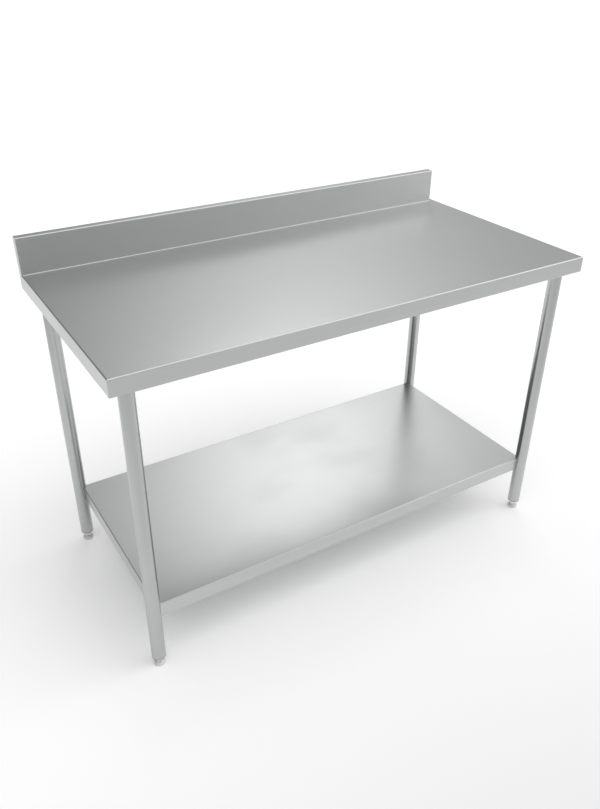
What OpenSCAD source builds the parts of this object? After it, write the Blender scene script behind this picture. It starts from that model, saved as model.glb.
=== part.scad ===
/* [Worktop] */
// Length of the worktop, left to right
table_l = 1400; // [1000:10:2000]
// Depth of the worktop, front edge to the back of the upstand
table_d = 680; // [560:10:800]
// Height of the working surface above the floor
top_h = 900; // [800:5:960]
// Height of the folded edge round the worktop
apron_h = 45; // [42:1:60]
// Width of the lip that the edges turn in at the bottom
lip_w = 12; // [8:1:14]

/* [Upstand] */
// Height of the upstand above the working surface
upstand_h = 102; // [60:1:200]
// Thickness of the boxed upstand, front to back
upstand_t = 25; // [15:1:30]
// How far the upstand stops short of the worktop's right end
upstand_short = 18; // [4:1:40]

/* [Sheet] */
// Thickness of the stainless sheet
sheet_t = 1.2; // [0.8:0.1:1.5]
// Inside radius of every fold in the sheet
fold_r = 2; // [1:0.5:3]

/* [Deck] */
// Thickness of the board that stiffens and deadens the worktop
board_t = 18; // [16:1:18]
// Gap left round the board for the folds
board_gap = 3; // [3:0.5:6]

/* [Bearers] */
// Flat width of the crown of each top-hat bearer
crown_w = 56; // [54:1:60]
// Width of each bearer flange, measured from the outside of its web
flange_w = 16; // [14:1:16]
// Depth of the bearers
bearer_h = 14; // [13:1:14]
// Thickness of the bearer sheet
bearer_t = 1.5; // [1.2:0.1:1.5]
// Inside radius of the bearer folds
bearer_fold_r = 1.5; // [1:0.5:2]
// Gap between a bearer's ends and the folded edges
bearer_gap = 3; // [2:0.5:6]
// Screws along each bearer flange
screws_per_flange = 4; // [2:1:6]
// Distance from the outermost screws to the bearer's ends
screw_end = 90; // [60:5:150]

/* [Legs] */
// Outside diameter of the leg tube
leg_d = 38.1; // [34:0.1:40]
// Wall of the leg tube
leg_wall = 1.2; // [1:0.1:1.5]
// Leg axis to the worktop's end
leg_inset_x = 50; // [49:0.5:70]
// Leg axis to the worktop's front or back edge
leg_inset_y = 43.5; // [42:0.5:60]
// Length of the spigot inside the top of each leg
spigot_l = 60; // [45:5:90]
// Wall of the spigot
spigot_wall = 2.5; // [2:0.5:3]
// Thickness of the plate that the spigot is welded to
socket_t = 3; // [3:0.5:4]
// Size of that plate across the bearer
socket_w = 52; // [48:1:54]
// Size of that plate along the bearer
socket_l = 74; // [72:1:76]
// Bolt to leg axis, along the bearer
socket_bolt_y = 29; // [28.5:0.5:29]
// Height of the locking screw below the underside of that plate
lock_drop = 29; // [20:1:40]

/* [Undershelf] */
// Height of the shelf surface above the floor
shelf_h = 203; // [150:1:400]
// Height of the folded edge round the shelf
shelf_edge_h = 45; // [36:1:60]
// Shelf side edge to the worktop's end
shelf_inset_x = 58; // [56:0.5:60]
// Shelf front or back edge to the worktop's front or back edge
shelf_inset_y = 43.5; // [42:0.5:60]
// Thickness of the corner brackets
bracket_t = 2.5; // [2:0.5:3]
// Length of each bracket wing beyond the leg's surface
bracket_wing = 38; // [25:1:60]

/* [Feet] */
// Underside of the leg plug above the floor
leg_clear = 28; // [27:0.5:40]
// Thickness of the plug's visible rim
plug_rim_t = 3; // [2:0.5:4]
// Length of the plug inside the tube
plug_l = 22; // [18:1:30]
// Diameter of the foot's thread
thread_d = 12; // [10:1:12]
// Length of the threaded stem above its collar
thread_l = 50; // [48:1:70]
// Diameter of the pad
pad_d = 32; // [28:1:44]
// Height of the pad
pad_h = 11; // [11:0.5:13]
// Diameter of the collar that is turned to level the table
collar_d = 20; // [18:0.5:22]
// Height of that collar
collar_h = 13.7; // [10:0.1:14]
// Width across the collar's two spanner flats
collar_flats = 17; // [15:0.5:18]

/* [Hidden] */
$fn = 96;

// Corners, as signs along X and Y: the front is -Y and the left is -X
FRONT_LEFT = [-1, -1];
FRONT_RIGHT = [1, -1];
BACK_LEFT = [-1, 1];
BACK_RIGHT = [1, 1];
CORNERS = [FRONT_LEFT, FRONT_RIGHT, BACK_LEFT, BACK_RIGHT];

// Clearances
slip = 0.3;      // loose fit between pieces that are only pushed together
running = 0.05;  // radial clearance of a thread, and of the stem in its pad
shelf_gap = 0.4; // shelf corner and bracket to the leg's surface
cut = 1;         // how far a cutter runs past the face it cuts

// Sheet
sheet_r = fold_r + sheet_t;
upstand_l = table_l - upstand_short;
upstand_x = -upstand_short / 2;
upstand_y = table_d / 2 - upstand_t;
table_top = top_h + upstand_h;

// Under the worktop
board_top = top_h - sheet_t;
board_z = board_top - board_t;
crown_z = board_z - bearer_h;
socket_z = crown_z - socket_t;
bearer_l = table_d - 2 * (sheet_t + bearer_gap);
leg_x = table_l / 2 - leg_inset_x;
leg_y = table_d / 2 - leg_inset_y;
screw_x = crown_w / 2 + flange_w / 2 + bearer_t / 2;
screw_step = (bearer_l - 2 * screw_end) / (screws_per_flange - 1);

// Fasteners: shank, head and nut sizes
wood_r = 2;
wood_l = 15;
wood_head_r = 4;
wood_face_r = 2.8;
wood_head_h = 2.6;
m8_r = 4;
m8_hole_r = 4.3;
m8_head_r = 7.5;
m8_head_h = 5.3;
m8_nut_h = 6.5;
m8_l = 12.2;
m6_r = 3;
m6_hole_r = 3.3;
m6_head_r = 5.25;
m6_face_r = 3.25;
m6_head_h = 3.3;
m6_l = 10;
m6_key_r = 2.3;
m6_key_depth = 2;
rivet_r = 4.5;
rivet_bulge_r = 6;
rivet_l = 9;
rivet_bulge_l = 3.5;

// Legs and feet
leg_r = leg_d / 2;
bore_r = leg_r - leg_wall;
spigot_r = bore_r - slip;
lock_z = socket_z - lock_drop;
leg_bottom = leg_clear + plug_rim_t;
plug_r = bore_r - running;
plug_top = plug_rim_t + plug_l;
plug_chamfer = 1;
thread_r = thread_d / 2;
pad_r = pad_d / 2;
pad_edge_h = 5;
pad_chamfer = 1;
pad_floor = 2.7;
pad_lip = 3;
bead_r = thread_r;
pin_r = bead_r - 1;
collar_z = pad_h + slip;
thread_z = collar_z + collar_h;

// Undershelf
shelf_l = table_l - 2 * shelf_inset_x;
shelf_d = table_d - 2 * shelf_inset_y;
shelf_under = shelf_h - sheet_t;
saddle_r = leg_r + shelf_gap;
bracket_top = shelf_under - fold_r - slip;
bracket_z = shelf_h - shelf_edge_h + sheet_t + fold_r + slip;
shelf_screw_z = (bracket_top + bracket_z) / 2;
// Inner faces of the shelf's folded edges, seen from a leg axis, positive inwards
edge_x = shelf_inset_x - leg_inset_x + sheet_t;
edge_y = shelf_inset_y - leg_inset_y + sheet_t;
// Direction of the shelf screw: the middle of the saddle's arc between the bracket's wings
saddle_back_r = saddle_r + bracket_t;
shelf_screw_turn = (asin((edge_y + bracket_t) / saddle_back_r)
    + acos((edge_x + bracket_t) / saddle_back_r)) / 2;

// Puts a front-left corner piece, drawn at its leg axis, at any corner
module at_corner(c) {
    translate([c[0] * leg_x, c[1] * leg_y, 0])
        mirror([c[0] > 0 ? 1 : 0, 0, 0])
            mirror([0, c[1] > 0 ? 1 : 0, 0])
                children();
}

// Extrudes a YZ outline along X, centred
module along_x(l) {
    rotate([90, 0, 90])
        translate([0, 0, -l / 2])
            linear_extrude(l)
                children();
}

// Extrudes an XZ outline along Y, centred
module along_y(l) {
    rotate([90, 0, 0])
        translate([0, 0, -l / 2])
            linear_extrude(l)
                children();
}

// A rectangle hanging below the X axis, with the corners named by signs rounded
module rounded_sheet_box(w, h, r, corners) {
    difference() {
        translate([-w / 2, -h])
            square([w, h]);
        for (c = corners)
            translate([c[0] * w / 2, c[1] > 0 ? 0 : -h])
                mirror([c[0] > 0 ? 1 : 0, 0])
                    mirror([0, c[1] > 0 ? 1 : 0])
                        difference() {
                            translate([-cut, -cut])
                                square(r + cut);
                            translate([r, r])
                                circle(r);
                        }
    }
}

// A block whose four long top and four long bottom edges are folds of radius r
module folded_block(l, d, h, r) {
    intersection() {
        along_x(l)
            rounded_sheet_box(d, h, r, CORNERS);
        along_y(d)
            rounded_sheet_box(l, h, r, CORNERS);
    }
}

// The space under a folded sheet top: its hollow, and the mouth between the lips
module tray_hollow(l, d, h) {
    translate([0, 0, -sheet_t])
        folded_block(l - 2 * sheet_t, d - 2 * sheet_t, h - 2 * sheet_t, fold_r);
    translate([0, 0, -h])
        cube([l - 2 * (sheet_t + lip_w), d - 2 * (sheet_t + lip_w), 2 * fold_r + sheet_t], center = true);
}

// Boxed upstand in YZ: a rectangle with both top corners folded
module upstand_outline(depth, low, high, r) {
    translate([table_d / 2 - upstand_t / 2, high])
        rounded_sheet_box(depth, high - low, r, [[-1, 1], [1, 1]]);
}

// End plate of the upstand, let into the worktop by the sheet's thickness and welded there
module cap_plate(side) {
    translate([upstand_x + side * (upstand_l - sheet_t) / 2, 0, 0])
        along_x(sheet_t)
            upstand_outline(upstand_t, top_h - sheet_t, table_top, sheet_r);
}

module worktop_skin() {
    fold_y = upstand_y - fold_r;
    fold_z = top_h + fold_r;
    // how far the upstand's pieces run down into the worktop's back edge
    band = apron_h / 2;
    color("silver")
        difference() {
            union() {
                translate([0, 0, top_h])
                    folded_block(table_l, table_d, apron_h, sheet_r);
                translate([-table_l / 2, upstand_y, top_h - band])
                    cube([upstand_l, upstand_t, band]);
                translate([upstand_x, 0, 0])
                    along_x(upstand_l - 2 * sheet_t)
                        upstand_outline(upstand_t, top_h - band, table_top, sheet_r);
                // coved fold between the working surface and the upstand: it starts past the worktop's
                // rounded left edge and ends at the right cap's inner face
                translate([upstand_x + fold_r / 2, 0, 0])
                    along_x(upstand_l - sheet_r - sheet_t)
                        difference() {
                            translate([fold_y, top_h - sheet_t / 2])
                                square([fold_r + sheet_t / 2, fold_r + sheet_t / 2]);
                            translate([fold_y, fold_z])
                                circle(fold_r);
                        }
            }
            translate([0, 0, top_h])
                tray_hollow(table_l, table_d, apron_h);
            translate([upstand_x, 0, 0])
                along_x(upstand_l - 2 * sheet_t)
                    upstand_outline(upstand_t - 2 * sheet_t, top_h - band, table_top - sheet_t, fold_r);
            for (side = [-1, 1])
                cap_plate(side);
        }
}

module upstand_cap(side) {
    color("silver")
        cap_plate(side);
}

// Places a child at each bearer screw, at the board's underside
module at_bearer_screws() {
    for (x = [-leg_x, 0, leg_x], side = [-1, 1], i = [0 : screws_per_flange - 1])
        translate([x + side * screw_x, -bearer_l / 2 + screw_end + i * screw_step, board_z])
            children();
}

module deck_board() {
    board_l = table_l - 2 * (sheet_t + board_gap);
    board_front = -table_d / 2 + sheet_t + board_gap;
    board_back = upstand_y - board_gap;
    color("burlywood")
        difference() {
            translate([-board_l / 2, board_front, board_z])
                cube([board_l, board_back - board_front, board_t]);
            at_bearer_screws()
                translate([0, 0, -cut])
                    cylinder(h = wood_l + cut, r = wood_r + running);
        }
}

// Top-hat section hanging below the X axis, crown down
module hat_outline() {
    w = crown_w / 2;
    r = bearer_fold_r;
    outer_r = r + bearer_t;
    // crown with its two rounded corners
    difference() {
        rounded_sheet_box(crown_w, bearer_h, outer_r, [[-1, -1], [1, -1]]);
        translate([0, bearer_h])
            rounded_sheet_box(crown_w - 2 * bearer_t, 2 * bearer_h - bearer_t, r, [[-1, -1], [1, -1]]);
    }
    // flanges, each with the fold that joins it to its web
    for (side = [0, 1])
        mirror([side, 0]) {
            translate([w - bearer_t / 2, -bearer_t])
                square([flange_w + bearer_t / 2, bearer_t]);
            difference() {
                translate([w - bearer_t / 2, -outer_r])
                    square([r + bearer_t / 2, outer_r - bearer_t / 2]);
                translate([w + r, -outer_r])
                    circle(r);
            }
        }
}

module bearer(x, bolted) {
    color("lightgray")
        difference() {
            translate([x, 0, board_z])
                along_y(bearer_l)
                    hat_outline();
            at_bearer_screws()
                cylinder(h = 2 * (bearer_t + cut), r = wood_r + slip, center = true);
            if (bolted)
                socket_bolt_holes();
        }
}

module bearer_screws() {
    color("gainsboro")
        at_bearer_screws() {
            translate([0, 0, -bearer_t])
                cylinder(h = wood_l + bearer_t - cut, r = wood_r);
            translate([0, 0, -bearer_t - wood_head_h])
                cylinder(h = wood_head_h, r1 = wood_face_r, r2 = wood_head_r);
        }
}

// Places a child at each socket bolt, at the underside of the socket plates
module at_socket_bolts() {
    for (c = CORNERS, side = [-1, 1])
        translate([c[0] * leg_x, c[1] * leg_y + side * socket_bolt_y, socket_z])
            children();
}

module socket_bolt_holes() {
    at_socket_bolts()
        translate([0, 0, -cut])
            cylinder(h = socket_t + bearer_t + 2 * cut, r = m8_hole_r);
}

module leg_socket(c) {
    color("lightgray")
        difference() {
            at_corner(c) {
                translate([-socket_w / 2, -socket_l / 2, socket_z])
                    cube([socket_w, socket_l, socket_t]);
                translate([0, 0, socket_z - spigot_l])
                    cylinder(h = spigot_l + socket_t / 2, r = spigot_r);
            }
            at_corner(c)
                translate([0, 0, socket_z - spigot_l - cut])
                    cylinder(h = spigot_l + cut, r = spigot_r - spigot_wall);
            at_lock_screw(c)
                cylinder(h = 2 * leg_r, r = m6_r + running);
            socket_bolt_holes();
        }
}

module socket_bolts() {
    color("gainsboro")
        at_socket_bolts() {
            translate([0, 0, -m8_head_h])
                cylinder(h = m8_head_h, r = m8_head_r, $fn = 6);
            translate([0, 0, -m8_head_h / 2])
                cylinder(h = m8_l + m8_head_h / 2, r = m8_r);
        }
}

module socket_nuts() {
    color("gainsboro")
        at_socket_bolts()
            translate([0, 0, socket_t + bearer_t])
                difference() {
                    cylinder(h = m8_nut_h, r = m8_head_r, $fn = 6);
                    translate([0, 0, -cut])
                        cylinder(h = m8_nut_h + 2 * cut, r = m8_r + running);
                }
}

// Places a child at a leg's locking screw: its own +Z points out of the tube, towards the wall
module at_lock_screw(c) {
    translate([c[0] * leg_x, c[1] * leg_y, lock_z])
        rotate([-90, 0, 0])
            children();
}

// Places a child at a leg's shelf screw: its own +Z points out of the tube, under the shelf
module at_shelf_screw(c) {
    at_corner(c)
        translate([0, 0, shelf_screw_z])
            rotate([0, 90, shelf_screw_turn])
                children();
}

module leg(c) {
    color("silver")
        difference() {
            at_corner(c)
                translate([0, 0, leg_bottom])
                    cylinder(h = socket_z - leg_bottom, r = leg_r);
            at_corner(c)
                translate([0, 0, leg_bottom - cut])
                    cylinder(h = socket_z - leg_bottom + 2 * cut, r = bore_r);
            at_lock_screw(c)
                cylinder(h = 2 * leg_r, r = m6_hole_r);
            at_shelf_screw(c)
                cylinder(h = 2 * leg_r, r = rivet_r + running);
        }
}

// M6 button-head screw with a key socket, its head resting on Z = 0 and its shank below
module button_screw(l) {
    difference() {
        union() {
            cylinder(h = m6_head_h, r1 = m6_head_r, r2 = m6_face_r);
            translate([0, 0, -l])
                cylinder(h = l + m6_head_h / 2, r = m6_r);
        }
        translate([0, 0, m6_head_h - m6_key_depth])
            cylinder(h = m6_key_depth + cut, r = m6_key_r, $fn = 6);
    }
}

module leg_lock_screws() {
    color("gainsboro")
        for (c = CORNERS)
            at_lock_screw(c)
                translate([0, 0, leg_r])
                    button_screw(leg_wall + slip + spigot_wall + cut);
}

module leg_plug(c) {
    color("dimgray")
        at_corner(c)
            difference() {
                translate([0, 0, leg_clear])
                    rotate_extrude()
                        polygon([[0, 0], [leg_r - plug_chamfer, 0], [leg_r, plug_chamfer],
                                 [leg_r, plug_rim_t], [plug_r, plug_rim_t],
                                 [plug_r, plug_top - plug_chamfer],
                                 [plug_r - plug_chamfer, plug_top], [0, plug_top]]);
                translate([0, 0, leg_clear - cut])
                    cylinder(h = plug_top + 2 * cut, r = thread_r + running);
            }
}

module foot_stem(c) {
    bead_z = pad_floor + slip;
    bead_top = pad_h - pad_lip - slip;
    color("silver")
        at_corner(c) {
            // bead and pin, held captive in the pad
            translate([0, 0, bead_z])
                cylinder(h = bead_top - bead_z, r = bead_r);
            translate([0, 0, bead_top - cut])
                cylinder(h = collar_z - bead_top + 2 * cut, r = pin_r);
            // collar with two spanner flats
            translate([0, 0, collar_z])
                intersection() {
                    cylinder(h = collar_h, d = collar_d);
                    translate([-collar_d / 2, -collar_flats / 2, 0])
                        cube([collar_d, collar_flats, collar_h]);
                }
            // threaded stem
            translate([0, 0, thread_z - cut])
                cylinder(h = thread_l + cut, r = thread_r);
        }
}

module foot_pad(c) {
    cavity_r = bead_r + slip;
    neck_r = collar_d / 2;
    color("whitesmoke")
        at_corner(c)
            rotate_extrude()
                polygon([[0, 0], [pad_r - pad_chamfer, 0], [pad_r, pad_chamfer], [pad_r, pad_edge_h],
                         [neck_r, pad_h], [pin_r + running, pad_h], [pin_r + running, pad_h - pad_lip],
                         [cavity_r, pad_h - pad_lip], [cavity_r, pad_floor], [0, pad_floor]]);
}

module shelf_skin() {
    color("silver")
        difference() {
            translate([0, 0, shelf_h])
                folded_block(shelf_l, shelf_d, shelf_edge_h, sheet_r);
            translate([0, 0, shelf_h])
                tray_hollow(shelf_l, shelf_d, shelf_edge_h);
            for (c = CORNERS)
                at_corner(c)
                    translate([0, 0, shelf_h - shelf_edge_h - cut])
                        cylinder(h = shelf_edge_h + 2 * cut, r = saddle_r);
        }
}

module shelf_bearer() {
    bearer_span = shelf_l - 2 * (saddle_r + bracket_t + bearer_gap);
    color("lightgray")
        translate([0, 0, shelf_under])
            along_x(bearer_span)
                hat_outline();
}

module shelf_bracket(c) {
    wing = saddle_r + bracket_wing;
    color("lightgray")
        difference() {
            at_corner(c)
                translate([0, 0, bracket_z])
                    linear_extrude(bracket_top - bracket_z)
                        difference() {
                            union() {
                                intersection() {
                                    circle(saddle_back_r);
                                    translate([edge_x, edge_y])
                                        square(2 * leg_r);
                                }
                                translate([edge_x, edge_y])
                                    square([wing - edge_x, bracket_t]);
                                translate([edge_x, edge_y])
                                    square([bracket_t, wing - edge_y]);
                            }
                            circle(saddle_r);
                        }
            at_shelf_screw(c)
                cylinder(h = 2 * leg_r, r = m6_hole_r);
        }
}

module shelf_screws() {
    color("gainsboro")
        for (c = CORNERS)
            at_shelf_screw(c)
                translate([0, 0, saddle_back_r])
                    button_screw(m6_l);
}

module leg_rivet_nuts() {
    mouth = sqrt(leg_r * leg_r - rivet_r * rivet_r) - running;
    seat = sqrt(bore_r * bore_r - rivet_bulge_r * rivet_bulge_r) - running;
    color("gainsboro")
        for (c = CORNERS)
            at_shelf_screw(c)
                difference() {
                    union() {
                        translate([0, 0, mouth - rivet_l])
                            cylinder(h = rivet_l, r = rivet_r);
                        translate([0, 0, seat - rivet_bulge_l])
                            cylinder(h = rivet_bulge_l, r = rivet_bulge_r);
                    }
                    translate([0, 0, mouth - rivet_l - cut])
                        cylinder(h = rivet_l + 2 * cut, r = m6_r + running);
                }
}

worktop_skin();
upstand_cap(-1);  // upstand_cap_left
upstand_cap(1);  // upstand_cap_right
deck_board();
bearer(-leg_x, true);  // bearer_left
bearer(0, false);  // bearer_middle
bearer(leg_x, true);  // bearer_right
bearer_screws();
leg_socket(FRONT_LEFT);  // leg_socket_front_left
leg_socket(FRONT_RIGHT);  // leg_socket_front_right
leg_socket(BACK_LEFT);  // leg_socket_back_left
leg_socket(BACK_RIGHT);  // leg_socket_back_right
socket_bolts();
socket_nuts();
leg(FRONT_LEFT);  // leg_front_left
leg(FRONT_RIGHT);  // leg_front_right
leg(BACK_LEFT);  // leg_back_left
leg(BACK_RIGHT);  // leg_back_right
leg_lock_screws();
leg_plug(FRONT_LEFT);  // leg_plug_front_left
leg_plug(FRONT_RIGHT);  // leg_plug_front_right
leg_plug(BACK_LEFT);  // leg_plug_back_left
leg_plug(BACK_RIGHT);  // leg_plug_back_right
foot_stem(FRONT_LEFT);  // foot_stem_front_left
foot_stem(FRONT_RIGHT);  // foot_stem_front_right
foot_stem(BACK_LEFT);  // foot_stem_back_left
foot_stem(BACK_RIGHT);  // foot_stem_back_right
foot_pad(FRONT_LEFT);  // foot_pad_front_left
foot_pad(FRONT_RIGHT);  // foot_pad_front_right
foot_pad(BACK_LEFT);  // foot_pad_back_left
foot_pad(BACK_RIGHT);  // foot_pad_back_right
shelf_skin();
shelf_bearer();
shelf_bracket(FRONT_LEFT);  // shelf_bracket_front_left
shelf_bracket(FRONT_RIGHT);  // shelf_bracket_front_right
shelf_bracket(BACK_LEFT);  // shelf_bracket_back_left
shelf_bracket(BACK_RIGHT);  // shelf_bracket_back_right
shelf_screws();
leg_rivet_nuts();
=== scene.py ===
# %% [markdown]
# # A stainless work table
# The table stands in the frame that the CAD model gives: metres, Z up, the wall side towards +Y. The CAD
# solids are already the true sheet-metal shapes, with real folds, so they are shown as they are and only
# get better finishes. The small turned, pressed and threaded pieces are rebuilt here in finer detail,
# because a plain cylinder never passes for a screw or a foot.

import math

import bmesh
import bpy
from mathutils import Matrix, Vector


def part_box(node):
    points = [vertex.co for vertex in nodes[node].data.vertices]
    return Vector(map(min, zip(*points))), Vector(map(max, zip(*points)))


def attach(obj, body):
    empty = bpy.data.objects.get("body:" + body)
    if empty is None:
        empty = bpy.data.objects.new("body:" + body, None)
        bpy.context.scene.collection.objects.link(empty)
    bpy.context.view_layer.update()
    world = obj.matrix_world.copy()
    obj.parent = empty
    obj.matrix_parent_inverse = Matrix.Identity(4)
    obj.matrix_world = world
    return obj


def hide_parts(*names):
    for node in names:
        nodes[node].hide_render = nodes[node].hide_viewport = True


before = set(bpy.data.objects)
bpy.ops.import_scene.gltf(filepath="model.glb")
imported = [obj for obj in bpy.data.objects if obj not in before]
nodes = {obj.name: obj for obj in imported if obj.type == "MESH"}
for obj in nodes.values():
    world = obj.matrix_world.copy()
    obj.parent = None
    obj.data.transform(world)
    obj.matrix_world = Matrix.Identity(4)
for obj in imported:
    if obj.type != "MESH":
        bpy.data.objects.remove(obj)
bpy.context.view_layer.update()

# %% [markdown]
# ## The camera
# The table is seen from the front left, from a standing person's eye height and a little above. A camera
# could be aimed with a constraint, but a heading, a tilt and a small roll written as plain angles are
# easier to read and to repeat, so its three axes are worked out from those.

# %% Camera
CAMERA_PLACE = Vector((-1.07826, -1.68736, 1.65328))
HEADING, TILT, ROLL = (math.radians(a) for a in (31.839, 30.957, 0.49))
LENS_MM, SENSOR_MM = 34.126, 36
SIGHT = 400


def camera_turn(heading, tilt, roll):
    """The turn of a camera that looks along a heading, clockwise from +Y, tilted down and rolled."""
    ahead = Vector((math.sin(heading) * math.cos(tilt), math.cos(heading) * math.cos(tilt), -math.sin(tilt)))
    right = Vector((math.cos(heading), -math.sin(heading), 0))
    up = right.cross(ahead)
    across = right * math.cos(roll) + up * math.sin(roll)
    upward = up * math.cos(roll) - right * math.sin(roll)
    return Matrix((across, upward, -ahead)).transposed()


camera = bpy.data.objects.new("camera", bpy.data.cameras.new("camera"))
bpy.context.scene.collection.objects.link(camera)
camera.matrix_world = Matrix.Translation(CAMERA_PLACE) @ camera_turn(HEADING, TILT, ROLL).to_4x4()
camera.data.lens = LENS_MM
camera.data.sensor_width = SENSOR_MM
camera.data.clip_end = SIGHT
bpy.context.scene.camera = camera
print("camera height", round(camera.location.z, 3))

# %% [markdown]
# ## Light and floor
# Polished steel has hardly any colour of its own: what it shows is the room. So the room matters more than
# any material here. It is a dim room with four soft boxes in it. The worktop mirrors a narrow one behind
# the table as its bright patch, and a wide faint one lower down fills in round that. One on the right and
# one overhead light the floor and the legs. Lamps on stands would do as well, but a patch of sky is smooth,
# as bright everywhere it is seen from, and needs no aiming. The backdrop that the camera sees is a plain
# pale one, which lights nothing. The floor is a plain sheet that runs out of sight.

# %% Colour handling
bpy.context.scene.view_settings.view_transform = "Standard"

# %% Soft boxes
# how bright the empty room is, and the backdrop that only the camera sees
ROOM, BACKDROP = 0.12, 0.95
# each box's heading clockwise from +Y, height and width, in degrees, and its strength
SOFT_BOXES = {
    "behind the worktop": (32, 36.5, 7, 2.1),
    "low behind": (29, 20, 23, 0.31),
    "right": (115, 32, 25, 1.8),
    "overhead": (225, 72, 26, 1.54),
}

# %% Sky
def sky_maths(operation, *values):
    """A Math node in the sky: numbers fill its sockets, outputs link to them."""
    made = sky.nodes.new("ShaderNodeMath")
    made.operation = operation
    for socket, value in zip(made.inputs, values):
        if isinstance(value, bpy.types.NodeSocket):
            sky.links.new(value, socket)
        else:
            socket.default_value = value
    return made.outputs[0]


def soft_box(heading, height, width, strength):
    """A soft round patch of light at a heading clockwise from +Y and a height, all in degrees."""
    around, up = math.radians(heading), math.radians(height)
    aim = sky.nodes.new("ShaderNodeVectorMath")
    aim.operation = "DOT_PRODUCT"
    level = math.cos(up)
    aim.inputs[1].default_value = (math.sin(around) * level, math.cos(around) * level, math.sin(up))
    sky.links.new(direction, aim.inputs[0])
    falling = 1 / math.radians(width) ** 2
    fade = sky_maths("EXPONENT", sky_maths("MULTIPLY_ADD", aim.outputs["Value"], falling, -falling))
    return sky_maths("MULTIPLY", fade, strength)


world = bpy.data.worlds.new("studio")
bpy.context.scene.world = world
world.use_nodes = True
sky = world.node_tree
direction = sky.nodes.new("ShaderNodeTexCoord").outputs["Generated"]
patches = [soft_box(*patch) for patch in SOFT_BOXES.values()]
total = sky_maths("ADD", ROOM, patches[0])
for patch in patches[1:]:
    total = sky_maths("ADD", total, patch)
looked_at = sky.nodes.new("ShaderNodeLightPath").outputs["Is Camera Ray"]
shown = sky_maths("MULTIPLY_ADD", looked_at, sky_maths("SUBTRACT", BACKDROP, total), total)
sky.links.new(shown, sky.nodes["Background"].inputs["Strength"])
sky.nodes["Background"].inputs["Color"].default_value = (1, 1, 1, 1)
print("soft boxes:", ", ".join(SOFT_BOXES))

# %% Floor
FLOOR_HALF = 150

floor_mesh = bpy.data.meshes.new("floor")
floor_mesh.from_pydata(
    [(-FLOOR_HALF, -FLOOR_HALF, 0), (FLOOR_HALF, -FLOOR_HALF, 0),
     (FLOOR_HALF, FLOOR_HALF, 0), (-FLOOR_HALF, FLOOR_HALF, 0)], [], [(0, 1, 2, 3)])
floor = bpy.data.objects.new("floor", floor_mesh)
bpy.context.scene.collection.objects.link(floor)

# %% [markdown]
# ## Shader maths
# Every finish below is built from the same few ingredients: noise at the right size, stretched along a
# grain, and masks for edges. Written node by node that is hard to follow, so one small class wraps a
# socket and lets ordinary sums stand for Math nodes. Anything that isn't a sum goes through one method.


# %% Socket class
class Socket:
    """A node's output, with ordinary arithmetic. Numbers give Math nodes, colours and vectors don't."""

    def __init__(self, finish, output):
        self.finish, self.output = finish, output

    def maths(self, operation, *values):
        return self.finish.node("ShaderNodeMath", {"operation": operation}, dict(enumerate(values)))

    def __add__(self, other):
        return self.maths("ADD", self, other)

    def __mul__(self, other):
        return self.maths("MULTIPLY", self, other)

    def __sub__(self, other):
        return self.maths("SUBTRACT", self, other)

    def __rsub__(self, other):
        return self.maths("SUBTRACT", other, self)

    __radd__, __rmul__ = __add__, __mul__

    def size(self):
        return self.maths("ABSOLUTE", self)

    def between(self, low, high):
        """0 below low, 1 above high and a smooth step from one to the other."""
        return self.finish.node("ShaderNodeMapRange", {"interpolation_type": "SMOOTHSTEP"},
                                {"Value": self, "From Min": low, "From Max": high})

    def vector(self, operation, other, output=0):
        return self.finish.node("ShaderNodeVectorMath", {"operation": operation}, {0: self, 1: other}, output)

    def tint(self, low, high):
        """A colour that runs from low to high as this value runs from 0 to 1."""
        return self.finish.node("ShaderNodeMix", {"data_type": "RGBA"},
                                {0: self, 6: (*low, 1), 7: (*high, 1)}, 2)


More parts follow.
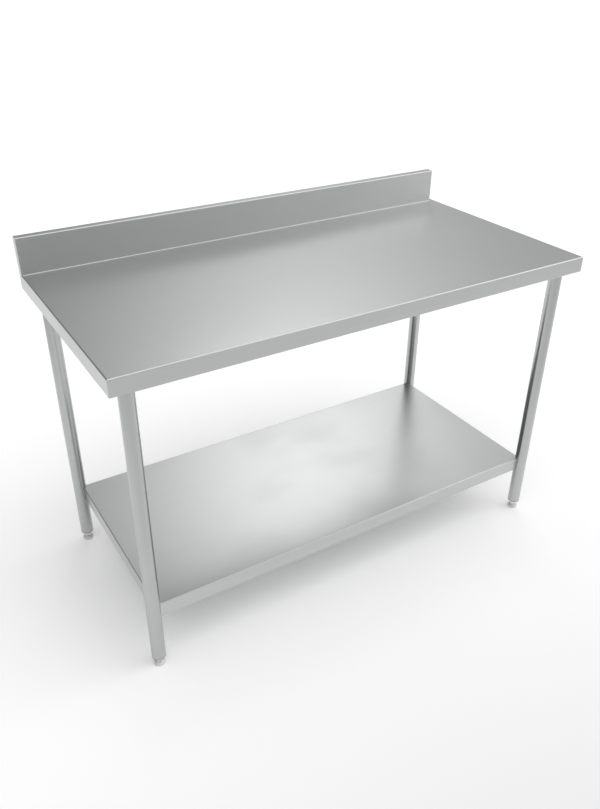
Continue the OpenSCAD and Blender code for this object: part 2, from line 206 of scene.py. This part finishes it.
# %% Finish class
class Finish:
    """A material and the nodes it is made of."""

    def __init__(self, name):
        self.material = bpy.data.materials.new(name)
        self.material.use_nodes = True
        self.tree = self.material.node_tree
        self.shader = self.tree.nodes["Principled BSDF"]
        places = self.tree.nodes.new("ShaderNodeTexCoord")
        self.place = Socket(self, places.outputs["Object"])
        self.facing = Socket(self, places.outputs["Normal"])

    def node(self, kind, settings=None, sockets=None, output=0):
        """Adds any node: its settings first, then the values or links of its sockets."""
        made = self.tree.nodes.new(kind)
        for name, value in (settings or {}).items():
            setattr(made, name, value)
        for name, value in (sockets or {}).items():
            self.feed(made.inputs[name], value)
        return Socket(self, made.outputs[output])

    def feed(self, socket, value):
        if isinstance(value, Socket):
            self.tree.links.new(value.output, socket)
        else:
            socket.default_value = value

    def set(self, **values):
        """Feeds the shader: base_color=..., roughness=... and so on."""
        for name, value in values.items():
            self.feed(self.shader.inputs[name.replace("_", " ").title().replace("Ior", "IOR")], value)
        return self.material

    def noise(self, scale, detail=2.0, place=None, roughness=0.5):
        """Cloudy noise from about 0.2 to 0.8. Scale is in lumps a metre, along X, Y and Z."""
        stretched = (place or self.place).vector("MULTIPLY", scale)
        return self.node("ShaderNodeTexNoise", None,
                         {"Vector": stretched, "Scale": 1.0, "Detail": detail, "Roughness": roughness})

    def cells(self, scale, feature="F1", output="Distance", place=None):
        return self.node("ShaderNodeTexVoronoi", {"feature": feature},
                         {"Vector": place or self.place, "Scale": scale}, output)

    def part(self, vector, axis):
        return self.node("ShaderNodeSeparateXYZ", None, {0: vector}, axis)

    def softened(self, radius):
        """The normal, turned smoothly over every edge as if it had that radius."""
        return self.node("ShaderNodeBevel", {"samples": 4}, {"Radius": radius})

    def edges(self, radius, sharp=0.06):
        """1 along the edges and 0 away from them."""
        plain = self.node("ShaderNodeNewGeometry", None, None, "Normal")
        turned = 1 - self.softened(radius).vector("DOT_PRODUCT", plain, "Value")
        return turned.between(0.0, sharp)

    def bump(self, height, depth, edge_radius=0.0004):
        """A normal from a height of 0 to 1 that stands for that depth in metres."""
        return self.node("ShaderNodeBump", None,
                         {"Height": height, "Distance": depth, "Strength": 1.0,
                          "Normal": self.softened(edge_radius)})


def cover(finish_material, *names):
    """Gives CAD nodes a finish in their own material slot."""
    for name in names:
        nodes[name].material_slots[0].material = finish_material


# %% [markdown]
# ## Brushed stainless sheet
# The worktop and the shelf are cut from sheet that was ground with a belt along its length, so the grain
# runs left to right and turns down over the two ends with the fold. A brushed look could come from an
# anisotropic shader, but its direction can't be steered here without a tangent map. So the grain is real:
# hair-thin streaks of bump and roughness, long one way and fine the other.

# %% Sheet finish
STEEL = (0.565, 0.578, 0.573)
STEEL_DARK = (0.535, 0.548, 0.543)


def streaks(finish, fine, long):
    """Belt grain along X, which runs straight down on the faces that look along X."""
    flat = finish.noise((1 / long, 1 / fine, 1 / fine), 3.0)
    ends = finish.noise((1 / fine, 1 / fine, 1 / long), 3.0)
    end_face = finish.part(finish.facing, 0).size().between(0.5, 0.8)
    return flat * (1 - end_face) + ends * end_face


def sheet_finish():
    finish = Finish("brushed_sheet")
    hair = streaks(finish, 0.0007, 0.09)
    bands = streaks(finish, 0.006, 0.6)
    smudge = finish.noise((2.6, 3.4, 3.4), 4.0).between(0.42, 0.7)
    worn = finish.edges(0.0012)
    tone = (hair * 0.5 + bands * 0.5).between(0.3, 0.7)
    return finish.set(
        base_color=(tone * 0.6 + 0.3 * (1 - smudge) + 0.1).tint(STEEL_DARK, STEEL),
        metallic=1.0,
        roughness=0.26 + hair * 0.06 + bands * 0.03 + smudge * 0.035 - worn * 0.08,
        normal=finish.bump(hair, 0.000012))


sheet = sheet_finish()
cover(sheet, "worktop_skin", "upstand_cap_left", "upstand_cap_right", "shelf_skin")
print("sheet nodes:", len(sheet.node_tree.nodes))

# %% [markdown]
# ## The floor's finish
# The studio floor is a matt white sheet that glows a little: painted fill light that keeps the shadows light.
# Its colour turns greyer towards the viewer and to the left, painted shade round a painted pool of light,
# which also keeps the folded edges on those sides from looking white. A painted floor would do as well, but a
# smooth fade needs no picture.

# %% Floor finish
floor_finish = Finish("studio_floor")
FLOOR_SHADED_EDGE, FLOOR_LIT_MIDDLE = (0.66, 0.66, 0.66), (0.98, 0.98, 0.98)
# the floor's glow is painted fill light: the floor lights the scene though it is no lamp
FLOOR_FILL_GLOW = 0.12
# where the floor turns from its painted shade at the edge to its painted light in the middle, along Y and
# along X
LIGHT_FADE_Y, LIGHT_FADE_X = (-2.0, 0.0), (-2.6, -1.0)
# painted light: a pool that is paler in the middle and greyer, as painted shade, towards the viewer and the
# left
painted_light_pool = (floor_finish.part(floor_finish.place, 1).between(*LIGHT_FADE_Y)
        * floor_finish.part(floor_finish.place, 0).between(*LIGHT_FADE_X))
floor_mesh.materials.append(floor_finish.set(
    base_color=painted_light_pool.tint(FLOOR_SHADED_EDGE, FLOOR_LIT_MIDDLE), roughness=0.9,
    emission_color=(1, 1, 1, 1), emission_strength=FLOOR_FILL_GLOW))

# %% [markdown]
# ## Drawn tube
# The legs are welded tube, ground while it turned, so its grain runs round it in fine rings. The same
# streaks do for this, long round the tube and fine along it.


# %% Tube finish
TUBE, TUBE_DARK = (0.505, 0.518, 0.512), (0.475, 0.488, 0.482)


def tube_finish():
    finish = Finish("ground_tube")
    rings = finish.noise((14, 14, 1 / 0.0006), 3.0)
    bands = finish.noise((6, 6, 1 / 0.02), 3.0)
    smudge = finish.noise((16, 16, 5), 4.0).between(0.42, 0.72)
    worn = finish.edges(0.0008)
    tone = (rings * 0.5 + bands * 0.5).between(0.3, 0.7)
    return finish.set(
        base_color=(tone * 0.7 + 0.3 * (1 - smudge)).tint(TUBE_DARK, TUBE),
        metallic=1.0,
        roughness=0.19 + rings * 0.05 + bands * 0.03 + smudge * 0.04 - worn * 0.05,
        normal=finish.bump(rings, 0.000008))


CORNERS = ("front_left", "front_right", "back_left", "back_right")
cover(tube_finish(), *(f"leg_{corner}" for corner in CORNERS))

# %% [markdown]
# ## Galvanised steel
# The bearers, sockets and brackets are out of sight, so they are plain galvanised sheet. Zinc that sets on
# hot steel grows flat crystals a few millimetres across, each catching the light its own way. Voronoi
# cells are just that: one random value a cell sets its tone and its shine.


# %% Galvanised finish
def galvanised_finish():
    finish = Finish("galvanised_sheet")
    wander = finish.noise((60, 60, 60), 2.0)
    bent = finish.place.vector("ADD", finish.node(
        "ShaderNodeCombineXYZ", None, {0: wander * 0.006, 1: wander * 0.006, 2: wander * 0.006}))
    crystal = finish.part(finish.cells(95, output="Color", place=bent), 0)
    cloud = finish.noise((9, 9, 9), 4.0).between(0.35, 0.7)
    worn = finish.edges(0.001)
    return finish.set(
        base_color=(crystal * 0.65 + cloud * 0.35).tint((0.36, 0.375, 0.385), (0.56, 0.575, 0.585)),
        metallic=1.0,
        roughness=0.36 + crystal * 0.16 + cloud * 0.08 - worn * 0.1,
        normal=finish.bump(crystal, 0.00001))


galvanised = galvanised_finish()
cover(galvanised, "bearer_left", "bearer_middle", "bearer_right", "shelf_bearer",
      *(f"leg_socket_{corner}" for corner in CORNERS), *(f"shelf_bracket_{corner}" for corner in CORNERS))

# %% [markdown]
# ## Zinc-plated fasteners
# Screws, bolts and nuts are bright zinc: a cold bluish white that turns faintly yellow in patches, and
# shinier than the galvanised sheet because the layer is thin and plated on.


# %% Zinc finish
def zinc_finish():
    finish = Finish("bright_zinc")
    patch = finish.noise((180, 180, 180), 3.0).between(0.4, 0.75)
    grit = finish.noise((2400, 2400, 2400), 2.0)
    worn = finish.edges(0.0004)
    return finish.set(
        base_color=patch.tint((0.62, 0.65, 0.69), (0.66, 0.64, 0.56)),
        metallic=1.0,
        roughness=0.24 + grit * 0.14 + patch * 0.06 - worn * 0.08,
        normal=finish.bump(grit, 0.000006))


zinc = zinc_finish()
cover(zinc, "leg_rivet_nuts")

# %% [markdown]
# ## Turned steel, nylon and board
# The foot stems are turned from bar, so their marks are rings. The plugs and pads are nylon, cast in a
# finely eroded mould: no metal at all, a soft sheen and a slight mottle. The board under the worktop is
# faced with grey melamine, and shows its pressed chips only at the sawn edges.


# %% Turned steel finish
def turned_finish():
    finish = Finish("turned_steel")
    rings = finish.noise((30, 30, 1 / 0.0004), 2.0)
    patch = finish.noise((240, 240, 240), 3.0).between(0.4, 0.7)
    worn = finish.edges(0.0004)
    return finish.set(
        base_color=(rings * 0.5 + patch * 0.3 + 0.2).tint((0.62, 0.63, 0.63), (0.74, 0.75, 0.75)),
        metallic=1.0,
        roughness=0.2 + rings * 0.1 + patch * 0.06 - worn * 0.06,
        normal=finish.bump(rings, 0.000006))


turned_steel = turned_finish()


# %% Nylon finish
def nylon_finish(name, dark, light):
    finish = Finish(name)
    mottle = finish.noise((120, 120, 120), 4.0).between(0.3, 0.7)
    spark = finish.noise((5200, 5200, 5200), 2.0)
    worn = finish.edges(0.0006)
    return finish.set(
        base_color=(mottle * 0.7 + worn * 0.3).tint(dark, light),
        roughness=0.44 + spark * 0.16 + mottle * 0.06 - worn * 0.1,
        normal=finish.bump(spark, 0.00002))


grey_nylon = nylon_finish("grey_nylon", (0.23, 0.24, 0.24), (0.33, 0.34, 0.34))
pale_nylon = nylon_finish("pale_nylon", (0.68, 0.68, 0.66), (0.80, 0.80, 0.78))


# %% Board finish
BOARD_DARK, BOARD_PALE = (0.13, 0.135, 0.13), (0.18, 0.185, 0.18)


def board_finish():
    finish = Finish("faced_board")
    lying = finish.place.vector("MULTIPLY", (1, 1.6, 1))
    chips = finish.cells(230, output="Color", place=lying)
    fibre = finish.noise((900, 300, 900), 4.0)
    seams = finish.cells(230, "DISTANCE_TO_EDGE", place=lying).between(0.0, 0.09)
    core = (finish.part(chips, 0) * 0.6 + fibre * 0.5).tint((0.30, 0.20, 0.11), (0.62, 0.47, 0.30))
    pebble = finish.noise((1400, 1400, 1400), 2.0)
    cloud = finish.noise((7, 7, 7), 4.0).between(0.3, 0.7)
    face = (cloud * 0.7 + pebble * 0.3).tint(BOARD_DARK, BOARD_PALE)
    flat = finish.part(finish.facing, 2).size().between(0.5, 0.8)
    return finish.set(
        base_color=finish.node("ShaderNodeMix", {"data_type": "RGBA"}, {0: flat, 6: core, 7: face}, 2),
        roughness=0.5 * flat + 0.8 * (1 - flat) + pebble * 0.12,
        normal=finish.bump(pebble * 0.3 * flat + (seams * 0.6 + fibre * 0.4) * (1 - flat), 0.00012))


cover(board_finish(), "deck_board")
print("finishes:", sorted(m.name for m in bpy.data.materials if m.users))

# %% [markdown]
# ## A lathe for small parts
# Screws, feet and plugs are all round things with a few flats, threads and recesses. A modifier could spin
# an outline, but then a hexagon or a thread would need cutting afterwards. Here every small part is a
# stack of rings instead: a list of radius and height, and, where it isn't round, a rule that moves each
# point by its angle. The mesh comes out closed and with even faces.


# %% Lathe
def rounded(outline, steps=4):
    """An outline of (radius, height) or (radius, height, fillet) points, each fillet drawn as a curve."""
    points = []
    for i, (radius, height, *fillet) in enumerate(outline):
        here = Vector((radius, height))
        if not fillet:
            points.append(tuple(here))
            continue
        before, after = (Vector(outline[j % len(outline)][:2]) for j in (i - 1, i + 1))
        start = here + (before - here).normalized() * fillet[0]
        end = here + (after - here).normalized() * fillet[0]
        for step in range(steps + 1):
            t = step / steps
            points.append(tuple(start * (1 - t) ** 2 + here * (2 * t * (1 - t)) + end * t ** 2))
    return points


def turned(rings, sides=48, rule=None, loop=False):
    """A closed mesh from rings of (radius, height) about Z. Radius 0 makes a point, loop joins the ends."""
    build = bmesh.new()
    rows = []
    for radius, height in rings:
        if radius == 0:
            rows.append([build.verts.new((0, 0, height))])
            continue
        row = []
        for side in range(sides):
            angle = 2 * math.pi * side / sides
            r, z = rule(angle, radius, height) if rule else (radius, height)
            row.append(build.verts.new((r * math.cos(angle), r * math.sin(angle), z)))
        rows.append(row)
    for low, high in zip(rows, rows[1:] + rows[:1] if loop else rows[1:]):
        for side in range(sides):
            after = (side + 1) % sides
            if len(low) == 1:
                build.faces.new((low[0], high[after], high[side]))
            elif len(high) == 1:
                build.faces.new((low[side], low[after], high[0]))
            else:
                build.faces.new((low[side], low[after], high[after], high[side]))
    bmesh.ops.recalc_face_normals(build, faces=build.faces)
    mesh = bpy.data.meshes.new("turned")
    build.to_mesh(mesh)
    build.free()
    return mesh


# %% Rules for flats, hexagons and crosses
def hexagon(angle, across_corners):
    """How far the hexagon reaches at that angle."""
    from_flat = (angle + math.pi / 6) % (math.pi / 3) - math.pi / 6
    return across_corners * math.cos(math.pi / 6) / math.cos(from_flat)


def cross(angle, arm, half_width):
    """How far a cross with four arms reaches at that angle."""
    turn = (angle + math.pi / 4) % (math.pi / 2) - math.pi / 4
    along = arm / math.cos(turn)
    beside = half_width / max(abs(math.sin(turn)), 1e-6)
    return max(min(along, beside), half_width / math.cos(math.pi / 4 - abs(turn)) * math.sqrt(2) * 0.98)


print("hexagon flat", round(hexagon(math.pi / 6, 1.0), 3))


# %% Putting a piece in place
def piece(name, meshes, body, slot, finish, *stands_for):
    """One object from meshes that are already where they belong, riding on a body."""
    joined = bmesh.new()
    for mesh in meshes:
        joined.from_mesh(mesh)
    whole = bpy.data.meshes.new(name)
    joined.to_mesh(whole)
    joined.free()
    whole.shade_smooth()
    whole.set_sharp_from_angle(angle=math.radians(32))
    whole.materials.append(finish)
    made = bpy.data.objects.new(name, whole)
    bpy.context.scene.collection.objects.link(made)
    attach(made, body)
    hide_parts(*stands_for)
    return made


def moved(mesh, place, ahead=(0, 0, 1)):
    """A copy of a mesh, its Z axis turned to point ahead, put at a place."""
    copy = mesh.copy()
    turn = Vector((0, 0, 1)).rotation_difference(Vector(ahead)).to_matrix().to_4x4()
    copy.transform(Matrix.Translation(place) @ turn)
    return copy


def solids(node):
    """The (lowest corner, highest corner) of each separate solid of a CAD node."""
    build = bmesh.new()
    build.from_mesh(nodes[node].data)
    bmesh.ops.remove_doubles(build, verts=build.verts, dist=1e-6)
    unseen, boxes = set(build.verts), []
    while unseen:
        group, edge = set(), [unseen.pop()]
        while edge:
            vert = edge.pop()
            group.add(vert)
            for link in vert.link_edges:
                other = link.other_vert(vert)
                if other in unseen:
                    unseen.discard(other)
                    edge.append(other)
        corners = [[f(v.co[i] for v in group) for i in range(3)] for f in (min, max)]
        boxes.append((Vector(corners[0]), Vector(corners[1])))
    build.free()
    return sorted(boxes, key=lambda box: tuple(round(v, 5) for v in box[0]))


# %% [markdown]
# ## The levelling feet
# Each foot is two pieces: a nylon pad that stays flat on the floor, and a steel stem that turns in it. The
# stem has a collar with two spanner flats and an M12 thread that screws into the leg. The thread is a true
# right-hand helix, because it comes into view when the foot is let down. Turning the stem one way or the
# other then looks right too.

# %% Foot sizes
PITCH = 0.00175
THREAD_R, THREAD_ROOT_R = 0.006, 0.00494
COLLAR_R, COLLAR_FLAT = 0.010, 0.0085
BEAD_R, PIN_R = 0.006, 0.005
foot_x = {c: sum(v.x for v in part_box(f"foot_stem_{c}")) / 2 for c in CORNERS}
foot_y = {c: sum(v.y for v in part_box(f"foot_stem_{c}")) / 2 for c in CORNERS}
stem_low, stem_high = (corner.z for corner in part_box("foot_stem_front_left"))
pad_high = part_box("foot_pad_front_left")[1].z
plug_low, plug_high = (corner.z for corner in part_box("leg_plug_front_left"))
print("stem from", round(stem_low, 4), "to", round(stem_high, 4), "pad top", round(pad_high, 4))


# %% Foot stem
def stem_rule(collar_low, collar_high, thread_low):
    """Flats on the collar and a helix on the thread; everything else stays round."""
    def rule(angle, radius, height):
        if collar_low <= height <= collar_high:
            return min(radius, COLLAR_FLAT / max(abs(math.sin(angle)), 1e-6)), height
        if height < thread_low or radius < THREAD_ROOT_R:
            return radius, height
        phase = (height / PITCH - angle / (2 * math.pi)) % 1
        ridge = min(max((abs(2 * phase - 1) - 0.12) / 0.72, 0), 1)
        grown = min((height - thread_low) / PITCH, 1)
        return min(radius, THREAD_ROOT_R + (THREAD_R - THREAD_ROOT_R) * ridge * grown), height
    return rule


def foot_stem():
    bead_high = pad_high - 0.0033
    collar_low, collar_high = pad_high + 0.0003, pad_high + 0.014
    thread_low = collar_high + 0.0012
    rings = rounded([(0, stem_low), (BEAD_R, stem_low, 0.0008), (BEAD_R, bead_high, 0.0004),
                     (PIN_R, bead_high), (PIN_R, collar_low)])
    rings += [(COLLAR_R - 0.0009, collar_low), (COLLAR_R, collar_low + 0.0005),
              (COLLAR_R, collar_high - 0.0005), (COLLAR_R - 0.0009, collar_high),
              (THREAD_ROOT_R, collar_high + 0.00001), (THREAD_ROOT_R, thread_low)]
    steps = round((stem_high - thread_low) / (PITCH / 9))
    for step in range(1, steps):
        height = thread_low + (stem_high - thread_low) * step / steps
        rings.append((min(THREAD_R, THREAD_ROOT_R + stem_high - height), height))
    rings += [(THREAD_ROOT_R - 0.0001, stem_high), (0, stem_high)]
    return turned(rings, 48, stem_rule(collar_low, collar_high, thread_low))


stem = foot_stem()
for corner in CORNERS:
    place = (foot_x[corner], foot_y[corner], 0)
    piece(f"levelling_stem_{corner}", [moved(stem, place)], f"stem_{corner}", "foot_steel",
          turned_steel, f"foot_stem_{corner}")
print("faces in one stem:", len(stem.polygons))

# %% Foot pad
PAD_R, PAD_EDGE, CAVITY_R, PAD_FLOOR = 0.016, 0.005, 0.0063, 0.0027
GRIP_LOW, GRIP_HIGH, GRIP_DEPTH = 0.0095, 0.0138, 0.0006
pad = turned(rounded([
    (0, GRIP_DEPTH), (GRIP_LOW, GRIP_DEPTH, 0.0003), (GRIP_LOW, 0), (GRIP_HIGH, 0), (GRIP_HIGH + 0.0002, 0),
    (PAD_R, 0, 0.0010), (PAD_R, PAD_EDGE, 0.0014), (COLLAR_R + 0.0004, pad_high, 0.0008),
    (PIN_R + 0.0001, pad_high, 0.0003), (PIN_R + 0.0001, pad_high - 0.003), (CAVITY_R, pad_high - 0.003),
    (CAVITY_R, PAD_FLOOR), (0, PAD_FLOOR)]), 64)
for corner in CORNERS:
    place = (foot_x[corner], foot_y[corner], 0)
    piece(f"levelling_pad_{corner}", [moved(pad, place)], f"pad_{corner}", "pale_nylon",
          pale_nylon, f"foot_pad_{corner}")

# %% Leg plug
LEG_R, BORE_R = 0.01905, 0.01785
RIM = 0.003
plug = turned(rounded([
    (THREAD_R + 0.00005, plug_low), (0.0085, plug_low, 0.0003), (0.0090, plug_low + 0.0008),
    (0.0150, plug_low + 0.0008),
    (0.0155, plug_low, 0.0003), (LEG_R, plug_low, 0.0011), (LEG_R, plug_low + RIM),
    (BORE_R - 0.00005, plug_low + RIM), (BORE_R - 0.00005, plug_high - 0.001), (BORE_R - 0.001, plug_high),
    (THREAD_R + 0.00005, plug_high)]), 64, loop=True)
for corner in CORNERS:
    place = (foot_x[corner], foot_y[corner], 0)
    piece(f"end_plug_{corner}", [moved(plug, place)], "frame", "grey_nylon", grey_nylon, f"leg_plug_{corner}")
print("feet and plugs made")

# %% [markdown]
# ## Screws, bolts and nuts
# Under the table sit the parts that hold it together. A hexagon head gets the 30 degree chamfer that every
# rolled bolt has, a button head gets its dome and its six-sided socket, and the wood screws get a cross
# recess. Each kind is made once and copied to where the CAD model has one.


# %% Button-head screw
def button_screw(head_r, head_h, shank_r, length, key_r=0.0023, key_depth=0.002):
    """Its head rests on Z = 0 and its shank runs below."""
    dome = [(0.6 * head_r + 0.4 * head_r * math.cos(a), 0.0005 + (head_h - 0.0005) * math.sin(a))
            for a in (math.radians(d) for d in range(0, 91, 15))]
    rings = [(0, -length), (shank_r - 0.0006, -length), (shank_r, -length + 0.0006), (shank_r, 0),
             (head_r - 0.0003, 0), *dome, (key_r + 0.0004, head_h), (key_r, head_h - 0.0003),
             (key_r, head_h - key_depth), (0, head_h - key_depth - 0.0004)]

    def rule(angle, radius, height):
        return (hexagon(angle, key_r), height) if radius == key_r else (radius, height)
    return turned(rings, 48, rule)


def direction_from_leg(place):
    """Which way a screw at that place points: out of the nearest leg."""
    corner = min(CORNERS, key=lambda c: (place.x - foot_x[c]) ** 2 + (place.y - foot_y[c]) ** 2)
    return Vector((place.x - foot_x[corner], place.y - foot_y[corner], 0)), corner


M6_HEAD_R, M6_HEAD_H, M6_R = 0.00525, 0.0033, 0.003
LOCK_SHANK, SHELF_SHANK = 0.005, 0.010
SADDLE_BACK_R = LEG_R + 0.0004 + 0.0025
lock_screws, shelf_screws = [], []
for low, high in solids("leg_lock_screws"):
    out, corner = direction_from_leg((low + high) / 2)
    place = Vector((foot_x[corner], foot_y[corner], (low.z + high.z) / 2)) + out.normalized() * LEG_R
    lock_screws.append(moved(button_screw(M6_HEAD_R, M6_HEAD_H, M6_R, LOCK_SHANK), place, out))
for low, high in solids("shelf_screws"):
    out, corner = direction_from_leg((low + high) / 2)
    place = Vector((foot_x[corner], foot_y[corner], (low.z + high.z) / 2)) + out.normalized() * SADDLE_BACK_R
    shelf_screws.append(moved(button_screw(M6_HEAD_R, M6_HEAD_H, M6_R, SHELF_SHANK), place, out))
piece("locking_screws", lock_screws, "frame", "zinc_fasteners", zinc, "leg_lock_screws")
piece("shelf_corner_screws", shelf_screws, "frame", "zinc_fasteners", zinc, "shelf_screws")
print(len(lock_screws), "locking screws,", len(shelf_screws), "shelf screws")

# %% Hexagon bolts
M8_R, M8_CORNER_R, M8_HEAD_H, M8_PITCH, M8_ROOT_R = 0.004, 0.0075, 0.0053, 0.00125, 0.00330
CHAMFER = math.tan(math.radians(30))


def hexagon_bolt(length):
    """Its head hangs below Z = 0 and its threaded shank runs above."""
    def rule(angle, radius, height):
        if height <= 0 and radius > M8_R:
            return min(radius, hexagon(angle, M8_CORNER_R)), height
        if 0.001 < height < length - 0.0001 and radius > M8_ROOT_R:
            phase = (height / M8_PITCH - angle / (2 * math.pi)) % 1
            return min(radius, M8_ROOT_R + (M8_R - M8_ROOT_R) * min(abs(2 * phase - 1) * 1.3, 1)), height
        return radius, height
    face_r = M8_CORNER_R * math.cos(math.pi / 6) * 0.96
    cone = [(face_r + (M8_CORNER_R - face_r) * k / 4, -M8_HEAD_H + (M8_CORNER_R - face_r) * k / 4 * CHAMFER)
            for k in range(5)]
    thread = [(M8_R, 0.001 + (length - 0.0015) * k / 72) for k in range(73)]
    return turned([(0, -M8_HEAD_H + 0.0003), (face_r * 0.8, -M8_HEAD_H + 0.0003),
                   (face_r * 0.86, -M8_HEAD_H), *cone,
                   (M8_CORNER_R, -0.0003), (M8_CORNER_R * 0.97, 0), (M8_R + 0.00001, 0), (M8_R, 0.0009),
                   *thread, (M8_ROOT_R, length), (0, length)], 48, rule)


def hexagon_nut(height):
    """A nut standing on Z = 0, chamfered on both faces, with a clear bore."""
    def rule(angle, radius, z):
        return (min(radius, hexagon(angle, M8_CORNER_R)), z) if radius > M8_R + 0.001 else (radius, z)
    face_r = M8_CORNER_R * math.cos(math.pi / 6) * 0.96
    side = [(face_r + (M8_CORNER_R - face_r) * k / 4, (M8_CORNER_R - face_r) * k / 4 * CHAMFER)
            for k in range(5)]
    bore = M8_R + 0.00005
    outline = [(bore, 0.0005), (bore + 0.0005, 0), *side, *((r, height - z) for r, z in reversed(side)),
               (bore + 0.0005, height), (bore, height - 0.0005)]
    return turned(outline, 48, rule, loop=True)


def middle(low, high, height):
    return Vector(((low.x + high.x) / 2, (low.y + high.y) / 2, height))


bolts = solids("socket_bolts")
bolt_mesh = hexagon_bolt(bolts[0][1].z - bolts[0][0].z - M8_HEAD_H)
piece("socket_hexagon_bolts", [moved(bolt_mesh, middle(low, high, low.z + M8_HEAD_H)) for low, high in bolts],
      "frame", "zinc_fasteners", zinc, "socket_bolts")
nuts = solids("socket_nuts")
nut_mesh = hexagon_nut(nuts[0][1].z - nuts[0][0].z)
piece("socket_hexagon_nuts", [moved(nut_mesh, middle(low, high, low.z)) for low, high in nuts],
      "frame", "zinc_fasteners", zinc, "socket_nuts")
print(len(bolts), "bolts and", len(nuts), "nuts")

# %% Wood screws
WOOD_R, WOOD_HEAD_R, WOOD_HEAD_H = 0.002, 0.004, 0.0026
CROSS_ARM, CROSS_HALF, CROSS_DEPTH = 0.0023, 0.00055, 0.0014


def wood_screw(length):
    """A pan head that hangs below Z = 0, a cross recess in it, and a coarse thread above."""
    def rule(angle, radius, height):
        if radius in (CROSS_ARM, CROSS_ARM * 0.9):
            return cross(angle, radius, CROSS_HALF), height
        if height > 0.002 and radius == WOOD_R:
            phase = (height / 0.0018 - angle / (2 * math.pi)) % 1
            return WOOD_R * (0.68 + 0.32 * max(1 - 3.2 * min(phase, 1 - phase), 0)), height
        return radius, height
    pan = [(WOOD_HEAD_R * (0.72 + 0.28 * math.cos(a)), -WOOD_HEAD_H * 0.35 - WOOD_HEAD_H * 0.65 * math.sin(a))
           for a in (math.radians(d) for d in range(90, -1, -15))]
    thread = [(WOOD_R, 0.002 + (length - 0.0035) * k / 60) for k in range(61)]
    return turned([(0, -WOOD_HEAD_H + CROSS_DEPTH), (CROSS_ARM * 0.9, -WOOD_HEAD_H + CROSS_DEPTH * 0.8),
                   (CROSS_ARM, -WOOD_HEAD_H), (CROSS_ARM + 0.0002, -WOOD_HEAD_H), *pan,
                   (WOOD_HEAD_R, -0.0002), (WOOD_HEAD_R - 0.0002, 0), (WOOD_R * 0.7, 0.00001),
                   (WOOD_R * 0.7, 0.0015), *thread, (0, length)], 72, rule)


wood = solids("bearer_screws")
wood_mesh = wood_screw(wood[0][1].z - wood[0][0].z - WOOD_HEAD_H)
piece("bearer_wood_screws", [moved(wood_mesh, middle(low, high, low.z + WOOD_HEAD_H)) for low, high in wood],
      "frame", "zinc_fasteners", zinc, "bearer_screws")
print(len(wood), "wood screws")
